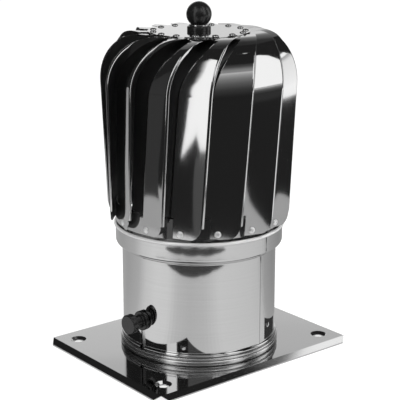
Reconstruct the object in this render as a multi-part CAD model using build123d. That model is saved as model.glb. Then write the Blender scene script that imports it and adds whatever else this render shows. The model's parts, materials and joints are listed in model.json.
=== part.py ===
from build123d import *
import os
from math import asin, cos, pi, radians, sin, sqrt, tan

# Driving dimensions, in millimetres and degrees. Z is up, and the plate's lips stand on Z = 0.

# Clearances
contact = 0.05
running_fit = 0.05
open_gap = 0.3

# Base plate: one folded sheet with splayed lips and four pressed screw holes
plate_length = 230.0
plate_width = 178.0
plate_sheet = 0.8
lip_slant = 7.5
lip_angle = 45.0
lip_corner_cut = 7.0
screw_spacing_x = 196.0
screw_spacing_y = 140.0
screw_hole_dia = 7.5
dimple_dia = 16.0
dimple_depth = 2.2
dimple_floor_dia = 10.5
dimple_sides = 12

# Neck: one rolled tube with a lap seam, belled at its upper end and beaded at both ends
neck_dia = 150.0
neck_sheet = 0.7
neck_height = 97.0
shoulder_height = 7.5
bell_dia = 162.4
bell_height = 15.5
rim_bead = 1.6
rim_bead_height = 3.2
foot_bead = 2.6
foot_bead_height = 3.6
seam_angle = -77.9
seam_width = 5.0
seam_sheet = 0.5
slot_width = 5.6

# Base collar: the spigot that the neck slides over, with a ribbed foot on the plate
collar_sheet = 0.7
collar_height = 58.0
foot_height = 8.4
foot_reach = 4.0

# Thumb screw that clamps the neck to the collar
thumb_angle = -174.0
thumb_height = 38.0
stud_dia = 5.0
stud_reach = 14.0
knob_flange_dia = 19.0
knob_flange_thickness = 3.4
knob_stem_dia = 11.6
knob_stem_length = 9.5
knob_head_dia = 19.2
knob_head_length = 6.5
stud_in_knob = 12.0
knob_bevel = 1.4
knob_sides = 20
weld_nut_flats = 10.0
weld_nut_length = 6.0

# Cross bars that carry the axle inside the neck
bar_width = 28.0
bar_sheet = 3.0
bar_tab = 18.0
upper_bar_height = 88.0
lower_bar_height = 64.0

# Axle and what stays still with it
axle_dia = 16.0
journal_dia = 12.0
axle_tail_dia = 10.0
axle_tail = 4.0
axle_top_dia = 8.0
axle_top_length = 13.0
nut_across_flats = 17.0
nut_thickness = 8.0
cap_washer_dia = 18.4
cap_washer_thickness = 1.3
ball_dia = 23.8
ball_seat = 9.2
ball_bands = 9
ball_sides = 24

# Turbine hub, with the same flanged plain bush at both ends
hub_dia = 22.0
hub_bore = 16.0
hub_length = 56.0
bush_length = 14.0
bush_flange_dia = 22.4
bush_flange_thickness = 4.3

# Turbine top disc and lower ring
top_disc_dia = 96.4
disc_sheet = 0.8
ring_dia = 162.0
ring_sheet = 0.8
ring_height = 19.0
ring_gap = 2.6

# Blades: straight strips bent over at the top, each set a little open like a louvre
blade_count = 15
blade_phase = 3.1
blade_sheet = 0.5
louvre_angle = 12.0
rise_angle = 4.5
blade_drop = 1.2
blade_height = 175.2
bend_radius = 47.0
bend_folds = 8
blade_end = 24.0
free_edge = 39.1
free_lean = 3.4
root_edge = -4.0
root_lean = 3.3
root_taper = 18.8
blade_lip = 2.5
lip_end = 52.0
corner_radius = 12.0
corner_folds = 4
tab_lead = 5.0
notch_gap = 1.5

# Rivets
rivet_head_dia = 6.3
rivet_head_height = 1.3
rivet_sides = 6
ring_rivet_height = 5.6
disc_rivet_radius = 43.7
disc_rivet_angle = 32.0

# Cylinders and boxes that stand on their base
BOTTOM_UP = (Align.CENTER, Align.CENTER, Align.MIN)

# Positions that follow from the driving dimensions
plate_top = lip_slant * sin(radians(lip_angle))
plate_bottom = plate_top - plate_sheet
neck_radius = neck_dia / 2
neck_inner = neck_radius - neck_sheet
bell_radius = bell_dia / 2
collar_radius = neck_inner - running_fit
collar_inner = collar_radius - collar_sheet
foot_top = plate_top + foot_height
shoulder_z = plate_top + neck_height
bell_z = shoulder_z + shoulder_height
rim_z = bell_z + bell_height
rim_top = rim_z + rim_bead_height
thumb_z = plate_top + thumb_height
ring_bottom = rim_top + ring_gap
ring_top = ring_bottom + ring_height
ring_radius = ring_dia / 2
blade_bottom = ring_bottom + blade_drop
tab_start = ring_radius * sin(radians(louvre_angle - tab_lead))
wall_u = sqrt(ring_radius**2 - tab_start**2) + blade_sheet + contact
bend_z = blade_bottom + blade_height - bend_radius
crown_z = bend_z + bend_radius / cos(radians(rise_angle))
disc_radius = top_disc_dia / 2
disc_bottom = crown_z + tan(radians(rise_angle)) * sqrt(disc_radius**2 - blade_end**2) + contact
disc_top = disc_bottom + disc_sheet
hub_bottom = disc_bottom - hub_length
axle_shoulder = hub_bottom - bush_flange_thickness - running_fit
cap_bottom = disc_top + bush_flange_thickness + open_gap
ball_bottom = cap_bottom + cap_washer_thickness
upper_bar_z = plate_top + upper_bar_height
lower_bar_z = plate_top + lower_bar_height


def tube(outer, inner, bottom, top):
    """An upright tube or washer about the Z axis."""
    return Pos(0, 0, bottom) * extrude(Circle(outer) - Circle(inner), amount=top - bottom)


def turned(*points):
    """A solid of revolution about the Z axis, from a closed outline of radius and height."""
    outline = Plane.XZ * make_face(Polyline(*points, close=True))
    return revolve(outline, axis=Axis.Z)


def ring_of_corners(radius, height, sides):
    turns = [2 * pi * i / sides for i in range(sides)]
    return [(radius * cos(turn), radius * sin(turn), height) for turn in turns]


def faceted(rings, tip=None):
    """A solid of flat facets between rings of corners, closed by its end rings or drawn to a tip."""
    facets = [rings[0]]
    sides = len(rings[0])
    for i in range(sides):
        after = (i + 1) % sides
        for low, high in zip(rings, rings[1:]):
            facets.append([low[i], low[after], high[after], high[i]])
        if tip:
            facets.append([rings[-1][i], rings[-1][after], tip])
    if not tip:
        facets.append(rings[-1])
    return Solid(Shell([Face(Wire.make_polygon(corners)) for corners in facets]))


def dimple(height):
    """The hollow of a pressed screw place, narrowing downwards from a height."""
    rim = ring_of_corners(dimple_dia / 2, height, dimple_sides)
    floor = ring_of_corners(dimple_floor_dia / 2, height - dimple_depth, dimple_sides)
    return faceted([floor, rim])


def pressed_hole(x, y):
    """A pan pressed down from the plate, with a screw hole in its floor."""
    rim = RegularPolygon(dimple_dia / 2, dimple_sides)
    pan = Pos(0, 0, plate_bottom) * extrude(rim, amount=plate_sheet) + dimple(plate_bottom)
    pan -= dimple(plate_top)
    return Pos(x, y, 0) * (pan - Pos(0, 0, plate_bottom) * Cylinder(screw_hole_dia / 2, 4 * dimple_depth))


def base_plate():
    plate = Pos(0, 0, plate_bottom) * extrude(Rectangle(plate_length, plate_width), amount=plate_sheet)
    for turn, side, half in (
        (0, plate_width, plate_length / 2),
        (90, plate_length, plate_width / 2),
        (180, plate_width, plate_length / 2),
        (270, plate_length, plate_width / 2),
    ):
        outward = (sin(radians(lip_angle)), 0, cos(radians(lip_angle)))
        fold = Plane(origin=(half, 0, plate_top), x_dir=(0, 1, 0), z_dir=outward)
        free_side = side / 2 - lip_corner_cut
        reach = lip_slant + plate_sheet
        outline = Polyline(
            (-side / 2, 0), (side / 2, 0), (free_side, -reach), (-free_side, -reach), close=True
        )
        lip = extrude(fold * make_face(outline), amount=-plate_sheet)
        plate += Rot(0, 0, turn) * lip
    plate = split(plate, bisect_by=Plane.XY, keep=Keep.TOP)
    plate -= Pos(0, 0, plate_bottom) * Cylinder(collar_inner, 4 * plate_sheet)
    for x in (-screw_spacing_x / 2, screw_spacing_x / 2):
        for y in (-screw_spacing_y / 2, screw_spacing_y / 2):
            rim = RegularPolygon(dimple_dia / 2, dimple_sides)
            plate -= Pos(x, y, plate_bottom) * extrude(rim, amount=plate_sheet)
            plate += pressed_hole(x, y)
    return plate


def base_collar():
    """A spigot welded to the plate by a broad foot, with a hole for the thumb screw."""
    foot = neck_radius + foot_reach
    collar_top = plate_top + collar_height
    collar = turned(
        (collar_inner, plate_top),
        (foot, plate_top),
        (foot, foot_top),
        (collar_radius, foot_top),
        (collar_radius, collar_top),
        (collar_inner, collar_top),
    )
    return collar - thumb_place() * Cylinder(stud_dia / 2 + open_gap, stud_reach)


def thumb_place():
    """A frame on the neck's wall at the thumb screw, with its Z axis pointing out along the screw."""
    return Rot(0, 0, thumb_angle) * Pos(neck_radius, 0, thumb_z) * Rot(0, 90, 0)


def neck_outline(radius, bell):
    """The line of one face of the neck's sheet from its foot to its rim."""
    return ((radius, foot_top), (radius, shoulder_z), (bell, bell_z), (bell, rim_z))


def neck_pipe():
    bead = bell_radius + rim_bead
    rim = ((bead, rim_z), (bead, rim_top), (bell_radius - neck_sheet, rim_top))
    foot = neck_radius + foot_bead
    foot_bead_top = foot_top + foot_bead_height
    bottom = ((foot, foot_top), (foot, foot_bead_top), (neck_radius, foot_bead_top))
    outer = neck_outline(neck_radius, bell_radius)
    inner = neck_outline(neck_inner, bell_radius - neck_sheet)
    neck = turned(*bottom, *outer[1:], *rim, *reversed(inner[:3])) + lap_seam()
    slot = Circle(slot_width / 2) + Pos(thumb_height / 2, 0) * Rectangle(thumb_height, slot_width)
    return neck - thumb_place() * extrude(slot, amount=foot_reach, both=True)


def lap_seam():
    """The overlapping edge of the rolled sheet, standing proud by its own thickness."""
    outer = neck_outline(neck_radius - neck_sheet / 2, bell_radius - neck_sheet / 2)
    proud = neck_outline(neck_radius + seam_sheet, bell_radius + seam_sheet)
    foot = foot_top + foot_bead_height
    line = ((outer[0][0], foot), *outer[1:], *reversed(proud[1:]), (proud[0][0], foot))
    strip = revolve(
        Plane.XZ * make_face(Polyline(*line, close=True)),
        axis=Axis.Z,
        revolution_arc=360 * seam_width / (pi * neck_dia),
    )
    return Rot(0, 0, seam_angle) * strip


def weld_nut():
    """The nut that the thumb screw turns in, with its face hollowed to the collar's wall."""
    section = RegularPolygon(weld_nut_flats / 2, 6, major_radius=False)
    section -= Circle(stud_dia / 2 + running_fit)
    nut = thumb_place() * Pos(0, 0, collar_inner - neck_radius - weld_nut_length) * extrude(
        section, amount=weld_nut_length + contact
    )
    return nut & Cylinder(collar_inner - contact, 4 * thumb_z)


def thumb_stud():
    length = stud_reach + open_gap + stud_in_knob
    return thumb_place() * Pos(0, 0, -stud_reach) * Cylinder(stud_dia / 2, length, align=BOTTOM_UP)


def thumb_knob():
    """A moulded bobbin: a flange at the wall, a slim stem and a head with a bevelled rim."""
    flange = knob_flange_dia / 2
    stem = knob_stem_dia / 2
    head = knob_head_dia / 2
    flange_top = open_gap + knob_flange_thickness
    head_start = flange_top + knob_stem_length
    head_end = head_start + knob_head_length
    outline = (
        (flange, open_gap),
        (flange, flange_top),
        (stem, flange_top),
        (stem, head_start),
        (head, head_start),
        (head, head_end - knob_bevel),
        (head - knob_bevel, head_end),
    )
    knob = faceted([ring_of_corners(radius, height, knob_sides) for radius, height in outline])
    knob -= Pos(0, 0, open_gap) * Cylinder(stud_dia / 2, stud_in_knob, align=BOTTOM_UP)
    return thumb_place() * knob


def cross_bar(turn, height, tab_direction):
    """A flat bar across the neck, with both ends bent along the wall."""
    reach = neck_inner - contact
    hole = axle_tail_dia / 2 + contact
    bar = Pos(0, 0, height) * Box(2 * neck_radius, bar_width, bar_sheet, align=BOTTOM_UP)
    bar &= tube(reach, hole, height, height + bar_sheet)
    tab_bottom = height if tab_direction > 0 else height + bar_sheet - bar_tab
    tabs = tube(reach, reach - bar_sheet, tab_bottom, tab_bottom + bar_tab)
    tabs &= Pos(0, 0, tab_bottom) * Box(2 * neck_radius, bar_width, bar_tab, align=BOTTOM_UP)
    return Rot(0, 0, turn) * (bar + tabs)


def axle():
    """A stepped rod: a threaded tail in the cross bars, a body, a journal and a threaded top."""
    tail = axle_tail_dia / 2
    body = axle_dia / 2
    journal = journal_dia / 2
    top = axle_top_dia / 2
    seat = upper_bar_z + bar_sheet
    return turned(
        (0, lower_bar_z - nut_thickness - axle_tail),
        (tail, lower_bar_z - nut_thickness - axle_tail),
        (tail, seat),
        (body, seat),
        (body, axle_shoulder),
        (journal, axle_shoulder),
        (journal, cap_bottom),
        (top, cap_bottom),
        (top, ball_bottom + axle_top_length),
        (0, ball_bottom + axle_top_length),
    )


def axle_nuts():
    """One nut under each cross bar."""
    section = RegularPolygon(nut_across_flats / 2, 6, major_radius=False)
    section -= Circle(axle_tail_dia / 2 + contact)
    nut = extrude(section, amount=nut_thickness)
    return [Pos(0, 0, bar - nut_thickness) * nut for bar in (upper_bar_z, lower_bar_z)]


def ball_knob():
    """A round grip of flat facets, with a flat seat and a blind threaded bore."""
    radius = ball_dia / 2
    centre = ball_bottom + ball_seat
    start = -asin(ball_seat / radius)
    rings = []
    for i in range(ball_bands):
        angle = start + (pi / 2 - start) * i / ball_bands
        rings.append(ring_of_corners(radius * cos(angle), centre + radius * sin(angle), ball_sides))
    ball = faceted(rings, tip=(0, 0, centre + radius))
    bore = Cylinder(axle_top_dia / 2 + contact, axle_top_length + contact, align=BOTTOM_UP)
    return ball - Pos(0, 0, ball_bottom) * bore


def flanged_bush():
    """A plain bearing bush whose flange lies under Z = 0 and whose sleeve stands above it."""
    bore = journal_dia / 2 + running_fit
    flange = bush_flange_dia / 2
    sleeve = hub_bore / 2 - contact
    return turned(
        (bore, -bush_flange_thickness),
        (flange, -bush_flange_thickness),
        (flange, 0),
        (sleeve, 0),
        (sleeve, bush_length),
        (bore, bush_length),
    )


# The blade's own directions: u points out from its face, v runs across it to the free edge
u_axis = Vector(1, 0, 0).rotate(Axis.Z, -louvre_angle)
v_axis = Vector(0, 1, 0).rotate(Axis.Z, -louvre_angle)
across = v_axis * cos(radians(rise_angle)) + Vector(0, 0, sin(radians(rise_angle)))
blade_face = Plane(origin=u_axis * wall_u, x_dir=v_axis, z_dir=u_axis)


def bent_strip(depth):
    """A wide strip of sheet, upright below and bent over to the crown in small folds, as deep as asked."""
    section = Plane(origin=(0, 0, bend_z), x_dir=u_axis, z_dir=-across)
    bend_end = wall_u - bend_radius
    sides = []
    for inset in (0, depth):
        radius = bend_radius - inset
        angles = [pi / 2 * i / bend_folds for i in range(bend_folds + 1)]
        bend = [(bend_end + radius * cos(angle), radius * sin(angle)) for angle in angles]
        outline = Polyline(
            (bend_end + radius, -bend_z), *bend, (blade_end, radius), (blade_end, -bend_z), close=True
        )
        sides.append(make_face(outline))
    return extrude(section * (sides[0] - sides[1]), amount=wall_u, both=True)


def blade():
    """One bent strip cut to its two long edges, with a lip folded in along the free edge."""
    free_normal = v_axis - Vector(0, 0, tan(radians(free_lean)))
    free_origin = u_axis * wall_u + v_axis * free_edge + Vector(0, 0, blade_bottom)
    free_plane = Plane(origin=free_origin, z_dir=free_normal)
    root_normal = v_axis - Vector(0, 0, tan(radians(root_lean))) + u_axis * tan(radians(root_taper))
    root_origin = u_axis * wall_u + v_axis * root_edge + Vector(0, 0, blade_bottom)
    root_plane = Plane(origin=root_origin, z_dir=root_normal)

    strip = split(bent_strip(blade_sheet), bisect_by=free_plane, keep=Keep.BOTTOM)
    strip = split(strip, bisect_by=root_plane, keep=Keep.TOP)
    lip = split(bent_strip(blade_lip), bisect_by=free_plane, keep=Keep.BOTTOM)
    lip = split(lip, bisect_by=free_plane.offset(-blade_sheet), keep=Keep.TOP)
    lip = split(lip, bisect_by=Plane(origin=u_axis * lip_end, z_dir=u_axis), keep=Keep.TOP)
    whole = split(strip + lip, bisect_by=Plane.XY.offset(blade_bottom), keep=Keep.TOP)
    return whole - blade_outline_cuts()


def blade_outline_cuts():
    """What is cut away at the foot: the notch beside the rivet tab, and the round free corner."""
    depth = wall_u / 4
    notch_height = ring_top + notch_gap - blade_bottom
    notch_width = tab_start - root_edge + wall_u / 4
    notch = Pos(tab_start - notch_width / 2, blade_bottom + notch_height / 2) * Rectangle(
        notch_width, notch_height
    )
    angles = [-pi / 2 * i / corner_folds for i in range(corner_folds + 1)]
    middle = (free_edge - corner_radius, blade_bottom + corner_radius)
    curve = [(middle[0] + corner_radius * cos(a), middle[1] + corner_radius * sin(a)) for a in angles]
    beyond = free_edge + corner_radius
    below = blade_bottom - corner_radius
    outside = ((middle[0], below), (beyond, below), (beyond, middle[1]))
    corner = make_face(Polyline(*curve, *outside, close=True))
    return extrude(blade_face * (notch + corner), amount=depth, both=True)


def rivet():
    """The head of a blind rivet, with its underside on Z = 0 and few sides, as there are many."""
    return extrude(RegularPolygon(rivet_head_dia / 2, rivet_sides), amount=rivet_head_height)


def blade_turns():
    return [blade_phase + 360 * i / blade_count for i in range(blade_count)]


def ring_rivets():
    """One rivet through each blade's foot tab into the lower ring."""
    across_tab = wall_u * tan(radians(louvre_angle))
    seat = blade_face * Pos(across_tab, ring_bottom + ring_rivet_height, 0)
    return [Rot(0, 0, turn) * seat * rivet() for turn in blade_turns()]


def disc_rivets():
    """One rivet through the top disc into each blade."""
    seat = Rot(0, 0, disc_rivet_angle) * Pos(disc_rivet_radius, 0, disc_top)
    return [Rot(0, 0, turn) * seat * rivet() for turn in blade_turns()]


def save(name, solid):
    shape = Compound(children=solid) if isinstance(solid, list) else solid
    export_step(shape, os.path.join("parts", name + ".step"))


def main():
    os.makedirs("parts", exist_ok=True)
    save("base_plate", base_plate())
    save("base_collar", base_collar())
    save("neck_pipe", neck_pipe())
    save("weld_nut", weld_nut())
    save("thumb_stud", thumb_stud())
    save("thumb_knob", thumb_knob())
    save("upper_cross_bar", cross_bar(0, upper_bar_z, -1))
    save("lower_cross_bar", cross_bar(90, lower_bar_z, 1))
    save("axle", axle())
    save("axle_nuts", axle_nuts())
    cap_bore = axle_top_dia / 2 + contact
    save("cap_washer", tube(cap_washer_dia / 2, cap_bore, cap_bottom, ball_bottom))
    save("ball_knob", ball_knob())
    save("hub_tube", tube(hub_dia / 2, hub_bore / 2, hub_bottom, disc_bottom))
    save("lower_bush", Pos(0, 0, hub_bottom) * flanged_bush())
    save("upper_bush", Pos(0, 0, disc_top) * Rot(180, 0, 0) * flanged_bush())
    save("top_disc", tube(disc_radius, hub_bore / 2, disc_bottom, disc_top))
    save("lower_ring", tube(ring_radius, ring_radius - ring_sheet, ring_bottom, ring_top))
    one_blade = blade()
    for i, turn in enumerate(blade_turns()):
        save(f"blade_{i + 1:02d}", Rot(0, 0, turn) * one_blade)
    save("ring_rivets", ring_rivets())
    save("disc_rivets", disc_rivets())


main()
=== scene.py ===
import json
from collections import Counter
from math import acos, ceil, cos, degrees, pi, radians, sin, sqrt, tan

import bpy
from mathutils import Matrix, Vector

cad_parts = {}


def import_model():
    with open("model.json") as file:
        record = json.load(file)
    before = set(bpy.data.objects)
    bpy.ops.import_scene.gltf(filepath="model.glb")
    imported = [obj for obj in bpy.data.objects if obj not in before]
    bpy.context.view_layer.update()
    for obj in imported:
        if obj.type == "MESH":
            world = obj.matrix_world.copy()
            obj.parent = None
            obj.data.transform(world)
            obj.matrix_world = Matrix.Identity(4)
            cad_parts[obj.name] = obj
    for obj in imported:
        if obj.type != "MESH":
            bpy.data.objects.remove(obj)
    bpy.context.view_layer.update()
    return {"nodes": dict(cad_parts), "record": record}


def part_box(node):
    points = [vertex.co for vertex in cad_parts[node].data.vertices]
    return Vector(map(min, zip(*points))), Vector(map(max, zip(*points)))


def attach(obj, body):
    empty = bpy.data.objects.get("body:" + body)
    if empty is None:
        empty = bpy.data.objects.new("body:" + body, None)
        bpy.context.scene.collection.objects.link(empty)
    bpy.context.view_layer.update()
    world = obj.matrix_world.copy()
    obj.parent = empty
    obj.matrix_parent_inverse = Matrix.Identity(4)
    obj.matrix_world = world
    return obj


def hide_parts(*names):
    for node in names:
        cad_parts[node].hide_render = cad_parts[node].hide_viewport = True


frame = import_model()
nodes = frame["nodes"]

MM = 0.001

# Sizes of the cowl, in millimetres and degrees, where the frame's boxes don't give them
NECK_RADIUS = 75.0
NECK_SHEET = 0.7
BELL_RADIUS = 81.2
SHOULDER_RISE = 100.0
SHOULDER_HEIGHT = 4.5
SHOULDER_ROUND = 4.0
RIM_BEAD_HEIGHT = 3.2
FOOT_HEIGHT = 8.4
FOOT_REACH = 2.9
FOOT_GROOVE = 2.0
BROAD_RIB = 5.4
FOOT_BEAD = 1.9
FOOT_BEAD_HEIGHT = 3.6
SLOT_WIDTH = 5.6
SEAM_ANGLE = -77.9
SEAM_WIDTH = 5.0
SEAM_SHEET = 0.5
COLLAR_BORE = 73.55
FIT_GAP = 0.05
THUMB_ANGLE = -174.0
THUMB_HEIGHT = 38.0
KNOB_FLANGE_RADIUS = 9.5
KNOB_STEM_RADIUS = 5.8
KNOB_HEAD_RADIUS = 9.6
KNOB_GAP = 0.3
KNOB_FLANGE = 3.4
KNOB_STEM = 9.5
KNOB_HEAD = 6.5
STUD_RADIUS = 2.5
BALL_RADIUS = 11.9
BALL_SEAT = 9.2
BALL_BORE = 4.05
BUSH_BORE = 6.05
SLEEVE_RADIUS = 7.95
RIVET_RADIUS = 3.15
RIVET_HEIGHT = 1.3
RING_RIVET_HEIGHT = 5.6
DISC_RIVET_RADIUS = 43.7
DISC_RIVET_ANGLE = 32.0

# Blades, in millimetres and degrees
BLADE_COUNT = 15
BLADE_PHASE = 3.1
BLADE_SHEET = 0.5
LOUVRE_ANGLE = 12.0
RISE_ANGLE = 4.5
BLADE_HEIGHT = 175.2
BEND_RADIUS = 47.0
BLADE_END = 24.0
FREE_EDGE = 39.1
FREE_LEAN = 4.0
ROOT_EDGE = -4.0
ROOT_LEAN = 3.3
ROOT_TAPER = 18.8
BLADE_LIP = 2.5
LIP_END = 52.0
LIP_FOLD = 2.4
CORNER_RADIUS = 12.0
TAB_LEAD = 5.0
NOTCH_GAP = 1.5
BLADE_CROWN = 0.7
CROWN_FADE = 60.0
LIP_FADE = 8.0

# Heights of the cowl's parts, read from the frame, in millimetres
PLATE_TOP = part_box("base_collar")[0][2] / MM
RIM_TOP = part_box("neck_pipe")[1][2] / MM
FOOT_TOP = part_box("neck_pipe")[0][2] / MM
DISC_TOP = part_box("top_disc")[1][2] / MM
BALL_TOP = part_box("ball_knob")[1][2] / MM
BUSH_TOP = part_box("upper_bush")[1][2] / MM
RING_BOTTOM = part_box("lower_ring")[0][2] / MM
RING_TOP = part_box("lower_ring")[1][2] / MM
RING_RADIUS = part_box("lower_ring")[1][0] / MM
BLADE_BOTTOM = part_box("blade_01")[0][2] / MM

# Fineness of the meshes: points round a turn, and columns and rows of a blade
FULL_TURN = 180
RIVET_TURN = 24
BALL_STEPS = 40
TAB_COLUMNS = 4
MIDDLE_COLUMNS = 6
CORNER_COLUMNS = 8
FOOT_ROWS = 4
WALL_ROWS = 12
BEND_ROWS = 32
LIP_STEPS = 6
AXIS_POINT = 0.001

# Camera: where the photograph was taken from
CAMERA_DISTANCE = 1171.0
CAMERA_ELEVATION = 15.443
CAMERA_TURN = -128.865
CAMERA_TARGET = 141.8
CAMERA_LENS = 108.475
CAMERA_SHIFT = 0.00257

# Studio: brightness of the surroundings that the sheet mirrors, and the height they are seen from
DARK_LEVEL = 0.022
PANEL_LEVEL = 1.45
TABLE_LEVEL = 0.08
SHADE_LEVEL = 0.06
FLOOR_GREY = 0.4
FLOOR_GLOW = 0.78
EYE_HEIGHT = 250.0
PANEL_DISTANCE = 2200.0
WALL_DISTANCE = 2600.0
SOFTBOX_SIZE = 700.0
SOFTBOX_AIM = 150.0


# Geometry helpers

def rounded(points, radii, step=12.0):
    """An open line of (radius, height) points whose corners are rounded by the given radii."""
    line = [points[0]]
    for before, corner, after, radius in zip(points, points[1:], points[2:], radii):
        here = Vector(corner)
        back = (Vector(before) - here).normalized()
        ahead = (Vector(after) - here).normalized()
        half = acos(max(-1.0, min(1.0, back.dot(ahead)))) / 2
        if radius <= 0 or half > radians(89):
            line.append(corner)
            continue
        centre = here + (back + ahead).normalized() * radius / sin(half)
        first = here + back * radius / tan(half) - centre
        last = here + ahead * radius / tan(half) - centre
        sweep = first.angle_signed(last)
        count = max(2, ceil(abs(degrees(sweep)) / step))
        for i in range(count + 1):
            spoke = first.copy()
            spoke.rotate(Matrix.Rotation(-sweep * i / count, 2))
            line.append(tuple(centre + spoke))
    line.append(points[-1])
    return line


def new_mesh(name, points, faces, sharp=35.0):
    """A smooth-shaded mesh object from points in millimetres, with sharp edges by angle."""
    mesh = bpy.data.meshes.new(name)
    mesh.from_pydata([Vector(point) * MM for point in points], [], faces)
    mesh.validate()
    mesh.polygons.foreach_set("use_smooth", [True] * len(mesh.polygons))
    mesh.set_sharp_from_angle(angle=radians(sharp))
    thing = bpy.data.objects.new(name, mesh)
    bpy.context.scene.collection.objects.link(thing)
    return thing


def lathe(name, line, turns=None, closed=False, sharp=35.0, hole=None):
    """Turns a line of (radius, height) points about Z. hole(step, height) says which faces are left out."""
    angles = turns or [2 * pi * i / FULL_TURN for i in range(FULL_TURN)]
    points = []
    for angle in angles:
        points += [(radius * cos(angle), radius * sin(angle), height) for radius, height in line]
    size = len(line)
    faces = []
    for i in range(len(angles)):
        after = (i + 1) % len(angles)
        for j in range(size if closed else size - 1):
            up = (j + 1) % size
            middle = (line[j][1] + line[up][1]) / 2
            if hole and hole(i, middle):
                continue
            faces.append((i * size + j, after * size + j, after * size + up, i * size + up))
    thing = new_mesh(name, points, faces, sharp)
    even = thing.modifiers.new("even_shading", "WEIGHTED_NORMAL")
    even.weight = 90
    even.keep_sharp = True
    return thing


def sharpen_rim(mesh):
    """Marks a sheet's outer edges sharp, so that its cut edge shades apart from its faces."""
    uses = Counter(key for polygon in mesh.polygons for key in polygon.edge_keys)
    for edge in mesh.edges:
        if uses[edge.key] == 1:
            edge.use_edge_sharp = True


def place(thing, matrix):
    """Puts a mesh where a matrix in millimetres says, in its own points."""
    scaled = matrix.copy()
    scaled.translation = matrix.translation * MM
    thing.data.transform(scaled)


def dress(thing, body, slot, material, *replaced):
    """Gives a piece its finish and its body, and hides the solids that it stands for."""
    thing.data.materials.clear()
    thing.data.materials.append(material)
    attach(thing, body)
    if replaced:
        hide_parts(*replaced)


# Materials

def steel(name, color, roughness, wave, wave_size, brush=0.0, metal=1.0):
    """Polished sheet: a mirror with a slow unevenness, and level brush marks where asked."""
    material = bpy.data.materials.new(name)
    material.use_nodes = True
    tree = material.node_tree
    shader = tree.nodes["Principled BSDF"]
    shader.inputs["Base Color"].default_value = (color, color, color, 1)
    shader.inputs["Metallic"].default_value = metal
    shader.inputs["Roughness"].default_value = roughness
    spot = tree.nodes.new("ShaderNodeTexCoord")
    noise = tree.nodes.new("ShaderNodeTexNoise")
    noise.inputs["Scale"].default_value = wave_size
    noise.inputs["Detail"].default_value = 1.0
    bump = tree.nodes.new("ShaderNodeBump")
    bump.inputs["Strength"].default_value = wave
    bump.inputs["Distance"].default_value = 0.001
    tree.links.new(spot.outputs["Object"], noise.inputs["Vector"])
    tree.links.new(noise.outputs["Fac"], bump.inputs["Height"])
    tree.links.new(bump.outputs["Normal"], shader.inputs["Normal"])
    if brush:
        stretch = tree.nodes.new("ShaderNodeMapping")
        stretch.inputs["Scale"].default_value = (12.0, 12.0, 900.0)
        marks = tree.nodes.new("ShaderNodeTexNoise")
        marks.inputs["Scale"].default_value = 1.0
        marks.inputs["Detail"].default_value = 4.0
        level = tree.nodes.new("ShaderNodeMapRange")
        level.inputs["From Min"].default_value = 0.3
        level.inputs["From Max"].default_value = 0.7
        level.inputs["To Min"].default_value = color * (1 - brush)
        level.inputs["To Max"].default_value = color * (1 + brush)
        tree.links.new(spot.outputs["Object"], stretch.inputs["Vector"])
        tree.links.new(stretch.outputs["Vector"], marks.inputs["Vector"])
        tree.links.new(marks.outputs["Fac"], level.inputs["Value"])
        tree.links.new(level.outputs["Result"], shader.inputs["Base Color"])
    return material


def plastic(name, color, roughness):
    material = bpy.data.materials.new(name)
    material.use_nodes = True
    shader = material.node_tree.nodes["Principled BSDF"]
    shader.inputs["Base Color"].default_value = (color, color, color, 1)
    shader.inputs["Roughness"].default_value = roughness
    return material


blade_steel = steel("blade_steel", 0.60, 0.06, 0.01, 12.0)
blade_back = steel("blade_back", 0.30, 0.45, 0.0, 12.0)
neck_steel = steel("neck_steel", 0.62, 0.055, 0.008, 14.0, brush=0.02)
collar_steel = steel("collar_steel", 0.7, 0.26, 0.0, 14.0)
plate_steel = steel("plate_steel", 0.56, 0.07, 0.012, 12.0)
rivet_steel = steel("rivet_steel", 0.92, 0.3, 0.0, 10.0, metal=0.6)
# Rivets on the top disc: a darker, fully metallic copy of the rivet finish, painted shade so that the light
# from above doesn't whiten them
disc_rivet_painted_shade = steel("disc_rivet_painted_shade", 0.68, 0.2, 0.0, 10.0)
# Rim bead: the rougher finish is the rolled bead's own, but the lighter, part-diffuse colour is a painted
# highlight along the rim
rim_bead_painted_highlight = steel("rim_bead_painted_highlight", 0.95, 0.25, 0.0, 10.0, metal=0.4)
bright_steel = steel("bright_steel", 0.70, 0.25, 0.0, 10.0)
black_plastic = plastic("black_plastic", 0.012, 0.25)


# Finishes of the solids that stay as they are

def finish_solids():
    finishes = {"polished_steel": blade_steel, "bright_steel": bright_steel, "black_plastic": black_plastic}
    own = {"lower_ring": neck_steel, "base_plate": plate_steel}
    for part in frame["record"]["subparts"]:
        name = part["node"]
        for slot in nodes[name].material_slots:
            slot.material = own.get(name, finishes[part["material_slot"]])


# Base: collar and neck

def foot_ribs():
    """The collar's line: a bore, a broad and a narrow rib at the foot, and the spigot inside the neck."""
    foot = NECK_RADIUS + FOOT_REACH
    groove = foot - FOOT_GROOVE
    spigot = NECK_RADIUS - NECK_SHEET - FIT_GAP
    line = [
        (COLLAR_BORE, 0), (groove, 0), (groove, 0.3), (foot, 0.3), (foot, BROAD_RIB), (groove, BROAD_RIB),
        (groove, BROAD_RIB + 0.2), (foot, BROAD_RIB + 0.2), (foot, FOOT_HEIGHT), (spigot, FOOT_HEIGHT),
    ]
    soft = rounded(line, (0.05, 0.05, 1.9, 1.9, 0.05, 0.05, 1.3, 1.3), step=6.0)
    return [(radius, PLATE_TOP + height) for radius, height in soft]


def collar():
    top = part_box("base_collar")[1][2] / MM
    spigot = foot_ribs()[-1][0]
    line = foot_ribs() + [(spigot, top), (COLLAR_BORE, top)]
    thing = lathe("collar", line, closed=True)
    dress(thing, "base", "polished_steel", collar_steel, "base_collar")


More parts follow.
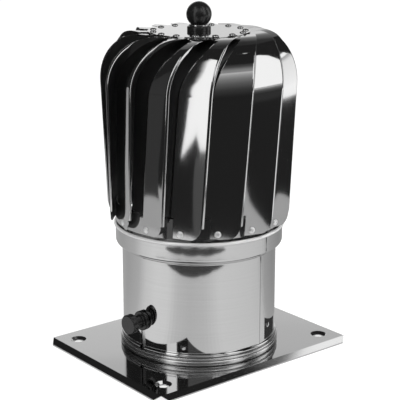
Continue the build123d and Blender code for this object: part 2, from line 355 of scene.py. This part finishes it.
def neck_line():
    """The neck's closed line: foot bead, wall, shoulder, bell and rim bead, then the inside."""
    shoulder = PLATE_TOP + SHOULDER_RISE
    bell = shoulder + SHOULDER_HEIGHT
    rim = RIM_TOP - RIM_BEAD_HEIGHT
    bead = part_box("neck_pipe")[1][0] / MM
    foot = NECK_RADIUS + FOOT_BEAD
    bead_top = FOOT_TOP + FOOT_BEAD_HEIGHT
    inner = NECK_RADIUS - NECK_SHEET
    bell_inner = BELL_RADIUS - NECK_SHEET
    line = [
        (inner, FOOT_TOP), (foot, FOOT_TOP), (foot, bead_top), (NECK_RADIUS, bead_top),
        (NECK_RADIUS, shoulder), (BELL_RADIUS, bell), (BELL_RADIUS, rim), (bead, rim), (bead, RIM_TOP),
        (bell_inner, RIM_TOP), (bell_inner, bell), (inner, shoulder), (inner, FOOT_TOP),
    ]
    radii = (1.7, 1.7, 0.8, 1.2, SHOULDER_ROUND, 0.5, 1.5, 1.5, 0.3, SHOULDER_ROUND, 1.2)
    return rounded(line, radii)[:-1]


def turn_list(breaks, count=FULL_TURN):
    """Angles round a full turn, evenly spread and with the given ones, in radians."""
    even = [2 * pi * i / count for i in range(count)]
    exact = [radians(angle) % (2 * pi) for angle in breaks]
    kept = [angle for angle in even if all(abs(angle - mark) > pi / count for mark in exact)]
    return sorted(kept + exact)


def neck():
    half_slot = degrees(SLOT_WIDTH / 2 / NECK_RADIUS)
    turns = turn_list((THUMB_ANGLE - half_slot, THUMB_ANGLE + half_slot))
    first = turns.index(radians(THUMB_ANGLE - half_slot) % (2 * pi))
    last = turns.index(radians(THUMB_ANGLE + half_slot) % (2 * pi))
    slot_top = PLATE_TOP + THUMB_HEIGHT
    line = split_line(neck_line(), slot_top)

    def in_slot(turn, height):
        return first <= turn < last and height < slot_top

    thing = lathe("neck", line, turns, closed=True, hole=in_slot)
    dress(thing, "base", "polished_steel", neck_steel, "neck_pipe")
    # The rim bead's faces take the lighter steel: a painted highlight along the rim
    thing.data.materials.append(rim_bead_painted_highlight)
    for polygon in thing.data.polygons:
        if polygon.center.z > (RIM_TOP - RIM_BEAD_HEIGHT) * MM:
            polygon.material_index = 1


def split_line(line, height):
    """The line with a point added wherever a side of it crosses the height."""
    done = []
    for here, after in zip(line, line[1:] + line[:1]):
        done.append(here)
        if (here[1] - height) * (after[1] - height) < 0:
            share = (height - here[1]) / (after[1] - here[1])
            done.append((here[0] + share * (after[0] - here[0]), height))
    return done


def seam():
    """The lap seam: the sheet's outer edge, proud of the wall from the foot bead to the rim."""
    shoulder = PLATE_TOP + SHOULDER_RISE
    bell = shoulder + SHOULDER_HEIGHT
    line = [
        (NECK_RADIUS, FOOT_TOP + FOOT_BEAD_HEIGHT), (NECK_RADIUS, shoulder), (BELL_RADIUS, bell),
        (BELL_RADIUS, RIM_TOP - RIM_BEAD_HEIGHT),
    ]
    proud = rounded([(radius + SEAM_SHEET, height) for radius, height in line], (1.2, SHOULDER_ROUND))
    under = [(radius - SEAM_SHEET - 0.1, height) for radius, height in proud]
    sweep = degrees(SEAM_WIDTH / NECK_RADIUS)
    angles = [radians(SEAM_ANGLE + sweep * i / 3) for i in range(4)]
    columns = [(angles[0], under), *((angle, proud) for angle in angles), (angles[-1], under)]
    size = len(proud)
    points = []
    for angle, column in columns:
        points += [(radius * cos(angle), radius * sin(angle), height) for radius, height in column]
    faces = []
    for i in range(len(columns) - 1):
        for j in range(size - 1):
            faces.append((i * size + j, (i + 1) * size + j, (i + 1) * size + j + 1, i * size + j + 1))
    thing = new_mesh("lap_seam", points, faces)
    dress(thing, "base", "polished_steel", neck_steel)


# Black plastic: ball, bush and thumb knob

def ball():
    centre = BALL_TOP - BALL_RADIUS
    low = -acos(sqrt(1 - (BALL_SEAT / BALL_RADIUS) ** 2))
    line = [(BALL_BORE, centre - BALL_SEAT)]
    for i in range(BALL_STEPS + 1):
        angle = low + (pi / 2 - low) * i / BALL_STEPS
        line.append((max(BALL_RADIUS * cos(angle), AXIS_POINT), centre + BALL_RADIUS * sin(angle)))
    thing = lathe("ball", line)
    dress(thing, "base", "black_plastic", black_plastic, "ball_knob")


def dust_ring():
    """The upper bush: its flange with a soft upper edge, and its sleeve down the hub."""
    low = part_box("upper_bush")[0][2] / MM
    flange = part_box("upper_bush")[1][0] / MM
    line = [
        (BUSH_BORE, low), (SLEEVE_RADIUS, low), (SLEEVE_RADIUS, DISC_TOP), (flange, DISC_TOP),
        (flange, BUSH_TOP), (BUSH_BORE, BUSH_TOP), (BUSH_BORE, low),
    ]
    thing = lathe("dust_ring", rounded(line, (0, 0, 0.2, 1.2, 0.3))[:-1], closed=True)
    dress(thing, "turbine", "black_plastic", black_plastic, "upper_bush")


def thumb_frame():
    """The thumb screw's frame: its Z axis points out from the neck."""
    turn = Matrix.Rotation(radians(THUMB_ANGLE), 4, "Z")
    out = Matrix.Translation((NECK_RADIUS, 0, PLATE_TOP + THUMB_HEIGHT))
    return turn @ out @ Matrix.Rotation(radians(90), 4, "Y")


def thumb_knob():
    flange_top = KNOB_GAP + KNOB_FLANGE
    head = flange_top + KNOB_STEM
    end = head + KNOB_HEAD
    line = [
        (STUD_RADIUS, KNOB_GAP), (KNOB_FLANGE_RADIUS, KNOB_GAP), (KNOB_FLANGE_RADIUS, flange_top),
        (KNOB_STEM_RADIUS, flange_top), (KNOB_STEM_RADIUS, head), (KNOB_HEAD_RADIUS, head),
        (KNOB_HEAD_RADIUS, end), (AXIS_POINT, end),
    ]
    thing = lathe("thumb_grip", rounded(line, (0.6, 0.8, 1.0, 1.0, 0.8, 1.4)))
    place(thing, thumb_frame())
    dress(thing, "thumb_screw", "black_plastic", black_plastic, "thumb_knob")


# Rivets

def rivet_line():
    """A blind rivet's head: a low dome with the hole that its mandrel left."""
    shares = ((1, 0), (0.97, 0.3), (0.8, 0.75), (0.5, 1), (0.33, 0.97), (0.3, 0.4))
    line = [(RIVET_RADIUS * out, RIVET_HEIGHT * up) for out, up in shares]
    return line + [(AXIS_POINT, RIVET_HEIGHT * 0.35)]


def blade_turns():
    return [BLADE_PHASE + 360 * i / BLADE_COUNT for i in range(BLADE_COUNT)]


def rivets(name, seat, node, material):
    line = rivet_line()
    turns = [2 * pi * i / RIVET_TURN for i in range(RIVET_TURN)]
    for i, turn in enumerate(blade_turns()):
        thing = lathe(f"{name}_{i + 1:02d}", line, turns, sharp=50.0)
        place(thing, Matrix.Rotation(radians(turn), 4, "Z") @ seat)
        dress(thing, "turbine", "polished_steel", material, node)


def ring_rivets():
    reach = WALL / cos(radians(LOUVRE_ANGLE))
    turn = Matrix.Rotation(radians(-LOUVRE_ANGLE), 4, "Z") @ Matrix.Rotation(radians(90), 4, "Y")
    seat = Matrix.Translation((reach, 0, RING_BOTTOM + RING_RIVET_HEIGHT)) @ turn
    rivets("ring_rivet", seat, "ring_rivets", rivet_steel)


def disc_rivets():
    turn = Matrix.Rotation(radians(DISC_RIVET_ANGLE), 4, "Z")
    seat = turn @ Matrix.Translation((DISC_RIVET_RADIUS, 0, DISC_TOP))
    # The disc's rivets take the darker copy of the rivet finish: painted shade on the top
    rivets("disc_rivet", seat, "disc_rivets", disc_rivet_painted_shade)


# Blades

TAB_START = RING_RADIUS * sin(radians(LOUVRE_ANGLE - TAB_LEAD))
WALL = sqrt(RING_RADIUS**2 - TAB_START**2) + BLADE_SHEET + FIT_GAP
BEND_Z = BLADE_BOTTOM + BLADE_HEIGHT - BEND_RADIUS
OUT = Vector((cos(radians(-LOUVRE_ANGLE)), sin(radians(-LOUVRE_ANGLE)), 0))
SIDE = Vector((-sin(radians(-LOUVRE_ANGLE)), cos(radians(-LOUVRE_ANGLE)), 0))
UP = Vector((0, 0, 1))
ACROSS = SIDE * cos(radians(RISE_ANGLE)) + UP * sin(radians(RISE_ANGLE))
ALONG = UP * cos(radians(RISE_ANGLE)) - SIDE * sin(radians(RISE_ANGLE))


def blade_edge(out, along, origin, normal):
    """Where the strip's line at a place on its section meets the plane of a long edge."""
    start = UP * BEND_Z + OUT * out + ALONG * along
    return start + ACROSS * ((origin - start).dot(normal) / ACROSS.dot(normal))


def blade_edges(out, along):
    """The two ends of the strip's line at a place on its section: root edge, free edge."""
    root = OUT * WALL + SIDE * ROOT_EDGE + UP * BLADE_BOTTOM
    root_normal = SIDE - UP * tan(radians(ROOT_LEAN)) + OUT * tan(radians(ROOT_TAPER))
    free = OUT * WALL + SIDE * FREE_EDGE + UP * BLADE_BOTTOM
    free_normal = SIDE - UP * tan(radians(FREE_LEAN))
    return blade_edge(out, along, root, root_normal), blade_edge(out, along, free, free_normal)


def blade_rows():
    """The upper rows of the blade, from the bend's start on: root, free, outward normal, reach."""
    rows = []
    for i in range(BEND_ROWS + 1):
        angle = radians(90 * i / BEND_ROWS)
        out = WALL - BEND_RADIUS + BEND_RADIUS * cos(angle)
        along = BEND_RADIUS * sin(angle)
        rows.append((*blade_edges(out, along), OUT * cos(angle) + ALONG * sin(angle), out))
    for share in (0.5, 1.0):
        out = WALL - BEND_RADIUS + share * (BLADE_END - WALL + BEND_RADIUS)
        rows.append((*blade_edges(out, BEND_RADIUS), ALONG, out))
    return rows


def wall_point(share, height):
    """A point on the blade's upright wall: share of the way from root edge to free edge."""
    root = ROOT_EDGE + (height - BLADE_BOTTOM) * tan(radians(ROOT_LEAN))
    free = FREE_EDGE + (height - BLADE_BOTTOM) * tan(radians(FREE_LEAN))
    return OUT * WALL + SIDE * (root + share * (free - root)) + UP * height


def foot_height(share):
    """The height of the blade's lower edge, with the round corner at its free edge."""
    across = ROOT_EDGE + share * (FREE_EDGE - ROOT_EDGE) - (FREE_EDGE - CORNER_RADIUS)
    if across <= 0:
        return BLADE_BOTTOM
    return BLADE_BOTTOM + CORNER_RADIUS - sqrt(max(CORNER_RADIUS**2 - across**2, 0))


def blade_shares():
    """Shares across the blade where its columns stand, closer at the round corner."""
    tab = (TAB_START - ROOT_EDGE) / (FREE_EDGE - ROOT_EDGE)
    corner = 1 - CORNER_RADIUS / (FREE_EDGE - ROOT_EDGE)
    left = [tab * i / TAB_COLUMNS for i in range(TAB_COLUMNS)]
    middle = [tab + (corner - tab) * i / MIDDLE_COLUMNS for i in range(MIDDLE_COLUMNS)]
    turns = [radians(90 * i / CORNER_COLUMNS) for i in range(CORNER_COLUMNS + 1)]
    right = [corner + (1 - corner) * sin(turn) for turn in turns]
    return left + middle + right


def flat_rows(shares):
    """The blade's rows from foot to end, before its crown and lip: points, outward normal, reach."""
    notch = RING_TOP + NOTCH_GAP
    rows = []
    for step in range(FOOT_ROWS):
        line = []
        for share in shares:
            low = foot_height(share)
            line.append(wall_point(share, low + (notch - low) * step / FOOT_ROWS))
        rows.append((line, OUT, WALL))
    bend = blade_rows()
    for step in range(WALL_ROWS):
        line = []
        for share in shares:
            top = bend[0][0].lerp(bend[0][1], share)
            low = wall_point(share, notch)
            line.append(low.lerp(top, step / WALL_ROWS))
        rows.append((line, OUT, WALL))
    for root, free, normal, out in bend:
        rows.append(([root.lerp(free, share) for share in shares], normal, out))
    return rows


def lipped_row(shares, line, normal, out):
    """A row of the blade with its slight crown, and its lip rolled inwards at the free edge."""
    depth = min(1, max(0, (out - LIP_END) / LIP_FADE))
    fold = LIP_FOLD * depth
    fade = min(1, max(0, (line[0].z - BLADE_BOTTOM) / CROWN_FADE)) * max(0, normal.dot(OUT)) ** 0.5
    flat_share = CORNER_RADIUS / (FREE_EDGE - ROOT_EDGE)
    row = []
    for share, point in zip(shares, line):
        inset = fold * max(0, 1 - (1 - share) / flat_share)
        swell = BLADE_CROWN * fade * 4 * share * (1 - share)
        row.append(point + normal * swell - ACROSS * inset)
    corner = line[-1]
    for i in range(1, LIP_STEPS + 1):
        angle = radians(90 * i / LIP_STEPS)
        row.append(corner + ACROSS * (fold * sin(angle) - fold) + normal * (fold * cos(angle) - fold))
    row.append(corner - normal * (fold + (BLADE_LIP - LIP_FOLD) * depth))
    return row


def blade_mesh(name):
    shares = blade_shares()
    rows = [lipped_row(shares, *row) for row in flat_rows(shares)]
    width = len(rows[0])
    points = [point for row in rows for point in row]
    faces = []
    for i in range(len(rows) - 1):
        for j in range(width - 1):
            if i < FOOT_ROWS and j < TAB_COLUMNS:
                continue
            faces.append((i * width + j, i * width + j + 1, (i + 1) * width + j + 1, (i + 1) * width + j))
    return new_mesh(name, points, faces, sharp=60.0)


def blades():
    for i, turn in enumerate(blade_turns()):
        name = f"blade_{i + 1:02d}"
        thing = blade_mesh(f"sheet_{name}")
        sharpen_rim(thing.data)
        place(thing, Matrix.Rotation(radians(turn), 4, "Z"))
        sheet = thing.modifiers.new("sheet", "SOLIDIFY")
        sheet.thickness = BLADE_SHEET * MM
        sheet.offset = -1
        sheet.material_offset = 1
        dress(thing, "turbine", "polished_steel", blade_steel, name)
        thing.data.materials.append(blade_back)


finish_solids()
collar()
neck()
seam()
ball()
dust_ring()
thumb_knob()
ring_rivets()
disc_rivets()
blades()


# Studio

def emitter(name, strength):
    material = bpy.data.materials.new(name)
    material.use_nodes = True
    tree = material.node_tree
    tree.nodes.clear()
    out = tree.nodes.new("ShaderNodeOutputMaterial")
    glow = tree.nodes.new("ShaderNodeEmission")
    glow.inputs["Color"].default_value = (1, 1, 1, 1)
    glow.inputs["Strength"].default_value = strength
    tree.links.new(glow.outputs["Emission"], out.inputs["Surface"])
    return material


def studio_turn(angle):
    """A direction in the studio: 0 points from the cowl to the camera, 90 to the picture's right."""
    return radians(CAMERA_TURN + angle)


def card(name, points, faces, material):
    """A studio card that shows in reflections only."""
    thing = new_mesh(name, points, faces)
    thing.data.materials.append(material)
    thing.visible_camera = False
    thing.visible_diffuse = False
    thing.visible_transmission = False
    thing.visible_shadow = False


def studio_point(ahead, right, height):
    """A point in millimetres: ahead towards the camera, right in the picture, height above the floor."""
    front = studio_turn(0)
    side = studio_turn(90)
    return (
        ahead * cos(front) + right * cos(side),
        ahead * sin(front) + right * sin(side),
        height,
    )


def round_point(angle, distance, height):
    """A point in millimetres at a studio direction, a distance from the axis and a height."""
    turn = studio_turn(angle)
    return distance * cos(turn), distance * sin(turn), height


def sky_point(angle, elevation, distance=PANEL_DISTANCE):
    """A point at a studio direction and an elevation, seen from the middle of the cowl."""
    height = EYE_HEIGHT + distance * tan(radians(elevation))
    return round_point(angle, distance, max(height, 1.0))


def screen(name, sides, low, high, level, distance=PANEL_DISTANCE):
    """A curved card between two studio directions, from one elevation to another."""
    first, last = sides
    count = max(1, ceil((last - first) / 6))
    points = []
    for i in range(count + 1):
        angle = first + (last - first) * i / count
        points.append(sky_point(angle, low, distance))
        points.append(sky_point(angle, high, distance))
    faces = [(2 * i, 2 * i + 2, 2 * i + 3, 2 * i + 1) for i in range(count)]
    card(name, points, faces, emitter(name, level))


def graded_screen(name, sides, stops, distance=PANEL_DISTANCE):
    """A screen whose brightness runs evenly between (elevation, level) stops."""
    for i, ((low, dim), (high, lit)) in enumerate(zip(stops, stops[1:])):
        count = max(1, ceil((high - low) / 3))
        for j in range(count):
            start = low + (high - low) * j / count
            end = low + (high - low) * (j + 1) / count
            level = dim + (lit - dim) * (j + 0.5) / count
            screen(f"{name}_{i}_{j}", sides, start, end, level, distance)


def soft_panel(name, rows, level):
    """A bright panel between (elevation, left, right, edge) rows, whose left edge fades in."""
    count = 6
    for i in range(count + 1):
        points = []
        for elevation, left, right, edge in rows:
            start = left + edge * i / count
            end = right if i == count else left + edge * (i + 1) / count
            points += [sky_point(start, elevation), sky_point(end, elevation)]
        faces = [(2 * j, 2 * j + 1, 2 * j + 3, 2 * j + 2) for j in range(len(rows) - 1)]
        card(f"{name}_{i}", points, faces, emitter(f"{name}_{i}", level * (i + 1) / (count + 1)))


def sector(name, sides, near, far, material):
    """A card lying on the table between two studio directions."""
    first, last = sides
    count = max(1, ceil((last - first) / 6))
    points = []
    for i in range(count + 1):
        angle = first + (last - first) * i / count
        points += [round_point(angle, near, 0.8), round_point(angle, far, 0.8)]
    faces = [(2 * i, 2 * i + 2, 2 * i + 3, 2 * i + 1) for i in range(count)]
    card(name, points, faces, material)


def table_card(name, outline, height, material):
    """A card on the table inside an outline of (studio direction, distance) points."""
    points = [round_point(angle, distance, height) for angle, distance in outline]
    card(name, points, [range(len(points))], material)


def graded_table(title, stops, near, far):
    """Cards on the table, whose brightness runs between (studio direction, level) stops."""
    for i, ((first, dim), (last, lit)) in enumerate(zip(stops, stops[1:])):
        count = ceil((last - first) / 4)
        for j in range(count):
            name = f"{title}_{i}_{j}"
            sides = (first + (last - first) * j / count, first + (last - first) * (j + 1) / count)
            level = dim + (lit - dim) * (j + 0.5) / count
            sector(name, sides, near, far, emitter(name, level))


def floor():
    """A pale floor that the camera sees as white, with the cowl's shadow on it."""
    reach = 9000.0
    corners = ((-reach, -reach), (reach, -reach), (reach, reach), (-reach, reach))
    thing = new_mesh("floor", [(x, y, -0.2) for x, y in corners], [(0, 1, 2, 3)])
    material = bpy.data.materials.new("floor")
    material.use_nodes = True
    tree = material.node_tree
    tree.nodes.clear()
    out = tree.nodes.new("ShaderNodeOutputMaterial")
    matte = tree.nodes.new("ShaderNodeBsdfDiffuse")
    matte.inputs["Color"].default_value = (FLOOR_GREY, FLOOR_GREY, FLOOR_GREY, 1)
    glow = tree.nodes.new("ShaderNodeEmission")
    light_path = tree.nodes.new("ShaderNodeLightPath")
    to_camera = tree.nodes.new("ShaderNodeMath")
    to_camera.operation = "MULTIPLY"
    to_camera.inputs[1].default_value = FLOOR_GLOW
    to_mirror = tree.nodes.new("ShaderNodeMath")
    to_mirror.operation = "MULTIPLY_ADD"
    to_mirror.inputs[1].default_value = TABLE_LEVEL
    both = tree.nodes.new("ShaderNodeAddShader")
    tree.links.new(light_path.outputs["Is Camera Ray"], to_camera.inputs[0])
    tree.links.new(light_path.outputs["Is Glossy Ray"], to_mirror.inputs[0])
    tree.links.new(to_camera.outputs["Value"], to_mirror.inputs[2])
    tree.links.new(to_mirror.outputs["Value"], glow.inputs["Strength"])
    tree.links.new(matte.outputs["BSDF"], both.inputs[0])
    tree.links.new(glow.outputs["Emission"], both.inputs[1])
    tree.links.new(both.outputs["Shader"], out.inputs["Surface"])
    thing.data.materials.append(material)


def world():
    """White behind the cowl for the camera and for reflections, and a plain soft light from all round."""
    sky = bpy.data.worlds.new("studio")
    bpy.context.scene.world = sky
    sky.use_nodes = True
    tree = sky.node_tree
    back = tree.nodes["Background"]
    back.inputs["Color"].default_value = (1, 1, 1, 1)
    light_path = tree.nodes.new("ShaderNodeLightPath")
    seen = tree.nodes.new("ShaderNodeMath")
    seen.operation = "MAXIMUM"
    through = tree.nodes.new("ShaderNodeMath")
    through.operation = "MAXIMUM"
    level = tree.nodes.new("ShaderNodeMapRange")
    level.inputs["To Min"].default_value = 0.6
    level.inputs["To Max"].default_value = 1.0
    tree.links.new(light_path.outputs["Is Camera Ray"], seen.inputs[0])
    tree.links.new(light_path.outputs["Is Glossy Ray"], seen.inputs[1])
    tree.links.new(seen.outputs["Value"], through.inputs[0])
    tree.links.new(light_path.outputs["Is Transmission Ray"], through.inputs[1])
    tree.links.new(through.outputs["Value"], level.inputs["Value"])
    tree.links.new(level.outputs["Result"], back.inputs["Strength"])


def area_light(name, ahead, right, height, watts):
    light = bpy.data.lights.new(name, "AREA")
    light.shape = "SQUARE"
    light.size = SOFTBOX_SIZE * MM
    light.energy = watts
    thing = bpy.data.objects.new(name, light)
    bpy.context.scene.collection.objects.link(thing)
    thing.location = Vector(studio_point(ahead, right, height)) * MM
    aim = Vector((0, 0, SOFTBOX_AIM * MM)) - thing.location
    thing.rotation_euler = aim.to_track_quat("-Z", "Y").to_euler()
    thing.visible_glossy = False


def dark_cloth(material):
    """Dark cloth on the floor round the pale table, open behind the cowl."""
    table = (
        (-500, -690), (330, -690), (352, -310), (447, -163), (480, 0), (452, 165), (560, 560),
        (430, 470), (270, 385), (60, 420), (-60, 640), (-285, 600),
    )
    outer = (
        (-3000, -4000), (4000, -5000), (4000, -1500), (4000, -800), (4000, 0), (4000, 800), (4000, 2500),
        (4000, 3000), (3000, 5000), (1000, 5000), (-60, 5000), (-2200, 4600),
    )
    points = [studio_point(ahead, right, 0.5) for ahead, right in table + outer]
    size = len(table)
    card("dark_cloth", points, [(i, i + 1, size + i + 1, size + i) for i in range(size - 1)], material)


def dark_walls():
    """Dark walls and ceiling, lighter low down behind the cowl."""
    screen("dark_wall", (-150, 118), -12, 64, DARK_LEVEL, WALL_DISTANCE)
    right_back = ((-6, 0.3), (14, 0.08), (30, DARK_LEVEL), (64, DARK_LEVEL))
    graded_screen("right_back_wall", (118, 154), right_back, WALL_DISTANCE)
    screen("ceiling", (-180, 180), 64, 89, DARK_LEVEL, WALL_DISTANCE)
    back_right = (
        (2, 0.8), (16, 0.76), (21, 0.5), (27, 0.28), (36, 0.17), (44, 0.12), (50, 0.05), (64, 0.04),
    )
    graded_screen("back_right", (154, 180), back_right, WALL_DISTANCE)
    back_left = ((2, 0.92), (16, 0.86), (21, 0.6), (28, 0.3), (40, 0.12), (52, 0.04), (64, 0.04))
    graded_screen("back_left", (180, 210), back_left, WALL_DISTANCE)


def panels(bright):
    """Bright panels and dim glows in front of the walls, and the light floor before some of them."""
    front = (
        (-6, 0.024), (8, 0.06), (20, 0.15), (30, 0.28), (38, 0.48), (43.5, 0.75), (44, 0.38), (49, 0.34),
        (56, 0.1), (62, 0.04),
    )
    graded_screen("front_glow", (-16, 20), front)
    left = (
        (-15, -46, -33, 0.4), (0, -47, -33, 0.8), (23, -50, -33, 1.5), (33, -53.5, -34, 3),
        (43, -59, -36, 4), (52, -69, -40, 6), (59, -83, -45, 8), (64, -93, -50, 8),
    )
    soft_panel("left_panel", left, PANEL_LEVEL)
    spots = (
        (-47, 940), (-45.4, 972), (-43.6, 1028), (-41.4, 1085), (-39.9, 1040), (-38.7, 990), (-37.9, 962),
        (-33, 950), (-33, 2200), (-46.6, 2200), (-46, 1440), (-46.2, 1200),
    )
    table_card("left_floor", spots, 1.0, bright)
    sector("left_grey", (-40.6, -33), 478, 930, emitter("left_grey", 0.1))
    graded_screen("left_dim", (-99, -86), ((-6, 0.05), (20, 0.045), (45, 0.025)))
    front_right = (
        (5, 43, 62, 1), (9, 44, 66, 1), (30, 44, 66, 1), (50, 50, 74, 1), (60, 60, 80, 1), (66, 66, 84, 1),
    )
    soft_panel("front_right_panel", front_right, PANEL_LEVEL)
    screen("left_gap", (-31, -18), 23, 58, PANEL_LEVEL)
    screen("right_gap", (22, 41), 23, 58, PANEL_LEVEL)
    graded_screen("front_right_fade", (43, 66), ((-6, 0.05), (-2, 0.1), (2, 0.3), (5, 0.9)))
    sector("front_right_glow", (43, 66), 1500, 2200, emitter("front_right_glow", 0.045))
    right = (
        (-14, PANEL_LEVEL), (27, 1.2), (31, 0.6), (32.5, 0.6), (33, PANEL_LEVEL), (36.5, PANEL_LEVEL),
        (37, 0.2), (41, 0.1),
    )
    graded_screen("right_panel", (94, 116), right)
    sector("right_floor", (94, 116), 1420, 2200, bright)
    sector("edge_floor", (64, 92), 520, 2200, bright)


def table_top(shade):
    """The table round the cowl: graded tones, two dark marks in front and a dim streak of cloth."""
    bowl = (
        (-56, 402), (-44, 380), (-31, 357), (-14, 341), (2, 346), (19, 362), (35, 383), (48, 402), (24, 402),
        (0, 402), (-24, 402), (-44, 402),
    )
    table_card("dark_bowl", bowl, 1.2, shade)
    band = (
        (-43, 450), (-37, 437), (-20, 429), (0, 428), (20, 431), (34, 448), (29, 460), (15, 468), (-5, 470),
        (-25, 468), (-38, 460),
    )
    table_card("dark_band", band, 1.2, shade)
    tones = (
        (-170, 0.42), (-118, 0.48), (-90, 0.6), (-76, 0.82), (-58, 0.92), (-40, 0.9), (-28, 0.72),
        (-12, 0.66), (6, 0.7), (26, 0.86), (46, 0.84), (70, 0.8), (88, 0.74), (100, 0.5), (128, 0.36),
        (170, 0.3),
    )
    graded_table("table", tones, 60, 480)
    streak = ((-100, DARK_LEVEL), (-99, 0.05), (-86, 0.05))
    graded_table("left_cloth", streak, 630, 2200)


def dark_room():
    """Dark surroundings with a few bright panels: what polished sheet mirrors in a studio."""
    dark_cloth(emitter("dark_cloth", DARK_LEVEL))
    dark_walls()
    panels(emitter("bright_floor", PANEL_LEVEL))
    table_top(emitter("dark_shade", SHADE_LEVEL))


def camera():
    lens = bpy.data.cameras.new("camera")
    lens.lens = CAMERA_LENS
    lens.sensor_width = 36.0
    lens.shift_x = CAMERA_SHIFT
    thing = bpy.data.objects.new("camera", lens)
    bpy.context.scene.collection.objects.link(thing)
    level = CAMERA_DISTANCE * cos(radians(CAMERA_ELEVATION))
    rise = CAMERA_DISTANCE * sin(radians(CAMERA_ELEVATION))
    target = Vector((0, 0, PLATE_TOP + CAMERA_TARGET)) * MM
    thing.location = Vector(studio_point(level, 0, PLATE_TOP + CAMERA_TARGET + rise)) * MM
    thing.rotation_euler = (target - thing.location).to_track_quat("-Z", "Y").to_euler()
    bpy.context.scene.camera = thing


floor()
world()
dark_room()
area_light("right_softbox", 500, 1500, 1300, 18)
area_light("left_softbox", 700, -1500, 1200, 14)
camera()
bpy.context.scene.view_settings.view_transform = "Standard"
